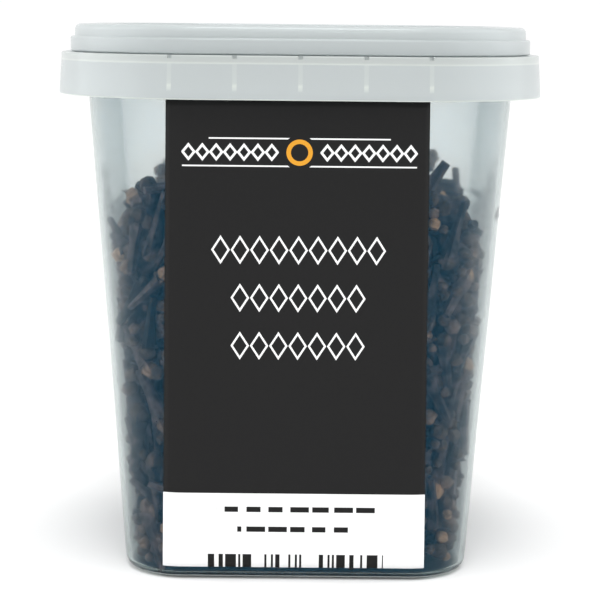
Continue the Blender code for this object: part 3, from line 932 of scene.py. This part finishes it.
def wallRoom(points):
    # how far inside the tub's inner face each point lies
    z = points[..., 2]
    half = wallHalf(z) - tub["wall"]
    flat = wallFlat(z)
    across = np.abs(points[..., 0]) - flat
    along = np.abs(points[..., 1]) - flat
    beyond = np.hypot(np.maximum(across, 0), np.maximum(along, 0))
    return (half - flat) - beyond - np.minimum(np.maximum(across, along), 0)


def heapTop(x, y):
    # a mound whose height follows the steps from its middle to its edge, with slow bumps
    across = np.maximum(np.abs(x), heap["moundLength"] * np.abs(y)) / heap["reach"]
    steps = np.array(heap["moundSteps"]).T
    rise = heap["mound"] * np.interp(across, *steps)
    bumps = 1.1 * np.sin(x / 5.1 + 1.0) * np.cos(y / 6.3) + 0.7 * np.sin((x + y) / 3.7)
    return heap["edge"] + rise + bumps * np.clip(1 - 0.5 * across, 0, 1)


def unit(vectors):
    return vectors / np.linalg.norm(vectors, axis=-1, keepdims=True)


def stationPoints(middle, along, size):
    offset = (stations[:, 0] - clove["length"] / 2) * size
    return middle + along * offset[:, None]


class Heap:
    # keeps the cloves placed so far, and takes a new one only where it has room
    def __init__(self):
        self.points = np.zeros((0, len(stations), 3))
        self.radii = np.zeros((0, len(stations)))
        self.middles = np.zeros((0, 3))
        self.kept = []
        self.buds = []

    def fits(self, points, radii, reach):
        if np.any(wallRoom(points) < reach + heap["clearance"]):
            return False
        if np.any(points[:, 2] < tub["floor"] + reach + heap["clearance"]):
            return False
        if np.any(points[:, 2] + reach > clovesHigh[2]):
            return False
        near = np.linalg.norm(self.middles - points.mean(axis=0), axis=1) < clove["length"] * 1.1
        if not near.any():
            return True
        others, sizes = self.points[near].reshape(-1, 3), self.radii[near].ravel()
        apart = np.linalg.norm(points[:, None] - others, axis=-1)
        return bool(np.all(apart > heap["overlap"] * (radii[:, None] + sizes)))

    def hold(self, points, radii):
        self.points = np.concatenate([self.points, points[None]])
        self.radii = np.concatenate([self.radii, radii[None]])
        self.middles = np.concatenate([self.middles, points.mean(axis=0)[None]])

    def add(self, middle, along, size, roll):
        points = stationPoints(middle, along, size)
        radii = stations[:, 1] * size
        if self.fits(points, radii, stations[:, 2] * size):
            self.hold(points, radii)
            self.kept.append((middle, along, size, roll))

    def addBud(self, middle, along, radius, roll):
        points = np.tile(middle, (len(stations), 1))
        radii = np.full(len(stations), radius)
        if self.fits(points, radii, radii):
            self.hold(points, radii)
            self.buds.append((middle, along, radius, roll))


def wallSpot(draw, depth):
    # a random spot at a depth inside the wall, with the direction out of the wall there
    z = draw.uniform(2.5, heap["edge"] + heap["mound"])
    place = draw.uniform(0, 1)
    half, flat = wallHalf(z) - tub["wall"], wallFlat(z)
    corner = half - flat
    lengths = np.array([2 * flat, corner * math.pi / 2])
    side, left = divmod(place * 4 * lengths.sum(), lengths.sum())
    if left < lengths[0]:
        point, out = np.array([half, left - flat]), np.array([1.0, 0.0])
    else:
        turn = (left - lengths[0]) / corner
        out = np.array([math.cos(turn), math.sin(turn)])
        point = flat + corner * out
    angle = side * math.pi / 2
    turned = np.array([[math.cos(angle), -math.sin(angle)], [math.sin(angle), math.cos(angle)]])
    out = turned @ out
    point = turned @ point - out * depth
    return np.array([point[0], point[1], z]), np.array([out[0], out[1], 0.0])


def layAlong(draw, out, lean):
    # a direction at random along a surface, leaning out of it by a normal draw
    side = unit(np.cross(out, (0.3, 0.5, 0.81)))
    turn = draw.uniform(0, math.tau)
    along = side * math.cos(turn) + np.cross(out, side) * math.sin(turn)
    return unit(along + out * draw.normal(0, lean))


def layWall(draw, pile, depth, lean, tries):
    for _ in range(tries):
        spot, out = wallSpot(draw, depth + draw.uniform(*heap["wallSpread"]))
        along = layAlong(draw, out, lean)
        size = draw.uniform(*clove["sizes"])
        highest = spot[2] + abs(along[2]) * size * clove["length"] / 2
        if highest > heapTop(spot[0], spot[1]) + heap["standOut"]:
            continue
        pile.add(spot, along, size, draw.uniform(0, math.tau))


def layTop(draw, pile, depth, lean, tries):
    for _ in range(tries):
        x, y = draw.uniform(-heap["reach"], heap["reach"], 2)
        along = layAlong(draw, np.array([0.0, 0.0, 1.0]), lean)
        slope = np.array([heapTop(x + 1, y) - heapTop(x - 1, y), heapTop(x, y + 1) - heapTop(x, y - 1)]) / 2
        along = unit(along + [0, 0, float(slope @ along[:2])])
        spot = np.array([x, y, heapTop(x, y) - depth - 1.0])
        pile.add(spot, along, draw.uniform(*clove["sizes"]), draw.uniform(0, math.tau))


def layFloor(draw, pile):
    for _ in range(heap["floorTries"]):
        x, y = draw.uniform(-heap["floorHalf"], heap["floorHalf"], 2)
        along = layAlong(draw, np.array([0.0, 0.0, 1.0]), 0.08)
        spot = np.array([x, y, tub["floor"] + draw.uniform(*heap["floorSpread"])])
        pile.add(spot, along, draw.uniform(*clove["sizes"]), draw.uniform(0, math.tau))


def scatterBuds(draw, pile):
    for _ in range(heap["budTries"]):
        radius = draw.uniform(*heap["budRadius"])
        spot, out = wallSpot(draw, radius + draw.uniform(*heap["budSpread"]))
        if spot[2] < heapTop(spot[0], spot[1]):
            pile.addBud(spot, layAlong(draw, out, 1.0), radius, draw.uniform(0, math.tau))


def fillHeap():
    # what shows most is laid first: the listed ones, at the wall, on top, on the floor, then buds between
    # them
    draw = np.random.default_rng(heap["seed"])
    pile = Heap()
    for middle, along in heap["byHand"]:
        pile.add(np.array(middle), unit(np.array(along)), 1.0, 0.3)
    print(len(pile.kept), "cloves placed by hand")
    outermost, *deeper = heap["wallLayers"]
    layWall(draw, pile, *outermost)
    for layer in heap["topLayers"]:
        layTop(draw, pile, *layer)
    layFloor(draw, pile)
    scatterBuds(draw, pile)
    for layer in deeper:
        layWall(draw, pile, *layer)
    return pile, draw


def turnedForms(forms, middle, along, size, roll, lift):
    # local axes of each clove: its own direction, and two square to it turned by the roll
    side = unit(np.cross(along, np.array([0.31, 0.55, 0.77])))
    third = np.cross(along, side)
    cos, sin = np.cos(roll)[:, None], np.sin(roll)[:, None]
    axes = np.stack([side * cos + third * sin, third * cos - side * sin, along], axis=1)
    local = (forms - [0, 0, lift]) * size[:, None, None]
    return np.einsum("nvk,nkj->nvj", local, axes) + middle[:, None]


def makeScattered(name, kept, forms, faces, isBud, lift, draw, husk):
    # one mesh of many small things, each with its own tint and its own place in the grain
    middle, along, size, roll = (np.array(column) for column in zip(*kept))
    count, each = len(middle), forms.shape[1]
    kind = draw.integers(0, len(forms), count)
    points = turnedForms(forms[kind], middle, along, size, roll, lift)
    starts = range(0, count * each, each)
    allFaces = [[start + corner for corner in face] for start in starts for face in faces]
    piece = placedMesh(name, points.reshape(-1, 3), allFaces, husk, 50)
    tint = np.clip(draw.normal(*heap["tints"], count), 0, 1)
    grain = forms[kind] * mm + draw.uniform(0, 1, (count, 1, 3))
    addAttribute(piece, "bud", "FLOAT", np.tile(isBud, count))
    addAttribute(piece, "tint", "FLOAT", np.repeat(tint, each))
    addAttribute(piece, "grain", "FLOAT_VECTOR", grain)
    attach(piece, "root")
    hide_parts("cloves")
    print(name, "holds", count, "with", len(piece.data.polygons), "faces")


def makeCloves(pile, draw, husk):
    forms, faces, isBud = cloveForms(np.random.default_rng(clove["seed"]))
    makeScattered("wholeCloves", pile.kept, forms, faces, isBud, clove["length"] / 2, draw, husk)
    ball, faces = budForm()
    balls = ball * draw.uniform(0.85, 1.0, (clove["variants"], len(ball), 1))
    makeScattered("looseBuds", pile.buds, balls, faces, np.ones(len(ball)), 0.0, draw, husk)


def makeCore(material):
    # a body under the cloves that show, darkened with painted shade for the deeper cloves: the wall's outline
    # moved in, closed by the mound's own form
    inset, foot = heap["coreInset"], heap["coreFoot"]
    edge = heap["edge"] - inset
    sides = [(wallHalf(z) - inset, wallFlat(z) - 2, z) for z in np.linspace(foot, edge, 14)]
    reach, flat, _ = sides[-1]
    mound = [(reach * share, flat * share, edge) for share in (0.96, 0.88, 0.76, 0.6, 0.42, 0.22, 0.06)]
    rows, faces = closedLoft(*np.array([(2.0, 1.3, foot), (15.0, 9.0, foot)] + sides + mound).T)
    top = rows[len(sides) + 2:]
    top[..., 2] = np.maximum(heapTop(top[..., 0], top[..., 1]) - inset, edge)
    x, y, z = np.moveaxis(rows[2:], -1, 0)
    lump = 0.9 * np.sin(x / 2.3 + z / 1.9) * np.cos(y / 2.1 - z / 2.6)
    rows[2:, :, :2] *= 1 + (lump / 30)[..., None]
    piece = placedMesh("cloveCore", rows.reshape(-1, 3), faces, material)
    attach(piece, "root")
    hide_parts("cloves")


dryHusk = dryHuskGroup()
cloveHusk = huskMaterial("cloveHusk", dryHusk, True)
# the core's husk carries painted shade
coreHuskPaintedShade = huskMaterial("coreHuskPaintedShade", dryHusk, False, **heap["paintedShadeCoreColours"])
clovePile, heapDraw = fillHeap()
makeCloves(clovePile, heapDraw, cloveHusk)
makeCore(coreHuskPaintedShade)
print("cloves made")


# Floor, light and camera

studio = {
    "floorSize": 6.0,
    "floorColour": (0.84, 0.84, 0.84, 1),
    "worldColour": (1.0, 1.0, 1.0, 1),
    "worldStrength": 1.02,
    "sky": {"from": (0.0, -0.26, 0.97), "strength": 1.0, "spread": 0.28},  # a broad soft light from above
    "lamps": (  # name, place, size, power
        ("leftLight", (-0.85, -0.12, 0.3), 1.1, 5.0),
        ("rightLight", (0.85, -0.12, 0.3), 1.1, 4.4),
    ),
    "aim": (0.0, 0.0, 0.05),
}
viewpoint = {
    "distance": 0.375,
    "height": 0.1102,
    "turn": 0.14,  # degrees round the tub
    "pitch": 9.0,
    "roll": 0.585,
    "focalPixels": 1785.0,
    "middle": (297.6, 299.4),
    "imageSize": 600,
    "sensor": 36.0,
}


def makeFloor():
    half = studio["floorSize"] / 2 / mm
    points = np.array([(-half, -half, 0), (half, -half, 0), (half, half, 0), (-half, half, 0)], float)
    made, _, shader = newMaterial("paleFloor")
    shader.inputs["Base Color"].default_value = studio["floorColour"]
    shader.inputs["Roughness"].default_value = 0.9
    shader.inputs["Specular IOR Level"].default_value = 0.1
    placedMesh("paleFloor", points, [(0, 1, 2, 3)], made)


def placeLamp(data, away, place=(0, 0, 0)):
    # a lamp shines against the direction that leads away from what it lights
    lamp = bpy.data.objects.new(data.name, data)
    lamp.location = place
    lamp.rotation_euler = Vector(away).to_track_quat("Z", "Y").to_euler()
    bpy.context.scene.collection.objects.link(lamp)


def makeLight():
    world = bpy.data.worlds.new("studio")
    world.use_nodes = True
    background = world.node_tree.nodes["Background"]
    background.inputs["Color"].default_value = studio["worldColour"]
    background.inputs["Strength"].default_value = studio["worldStrength"]
    bpy.context.scene.world = world
    data = bpy.data.lights.new("skyLight", "SUN")
    data.energy = studio["sky"]["strength"]
    data.angle = studio["sky"]["spread"]
    placeLamp(data, studio["sky"]["from"])
    for name, place, size, power in studio["lamps"]:
        data = bpy.data.lights.new(name, "AREA")
        data.shape = "SQUARE"
        data.size = size
        data.energy = power
        placeLamp(data, Vector(place) - Vector(studio["aim"]), place)


def makeCamera():
    data = bpy.data.cameras.new("photoView")
    camera = bpy.data.objects.new("photoView", data)
    turn, pitch, roll = (math.radians(viewpoint[name]) for name in ("turn", "pitch", "roll"))
    ahead = Vector((math.sin(turn) * math.cos(pitch), math.cos(turn) * math.cos(pitch), -math.sin(pitch)))
    right = Vector((math.cos(turn), -math.sin(turn), 0))
    up = right.cross(ahead)
    rolledRight = right * math.cos(roll) + up * math.sin(roll)
    rolledUp = up * math.cos(roll) - right * math.sin(roll)
    place = Matrix((rolledRight, rolledUp, -ahead)).transposed().to_4x4()
    away = viewpoint["distance"]
    place.translation = (-away * math.sin(turn), -away * math.cos(turn), viewpoint["height"])
    camera.matrix_world = place
    size = viewpoint["imageSize"]
    data.sensor_width = viewpoint["sensor"]
    data.lens = viewpoint["focalPixels"] * viewpoint["sensor"] / size
    data.shift_x = (size / 2 - viewpoint["middle"][0]) / size
    data.shift_y = (viewpoint["middle"][1] - size / 2) / size
    data.clip_start = 0.01
    bpy.context.scene.collection.objects.link(camera)
    bpy.context.scene.camera = camera


makeFloor()
makeLight()
makeCamera()
bpy.context.scene.view_settings.view_transform = "Standard"
print("studio made")
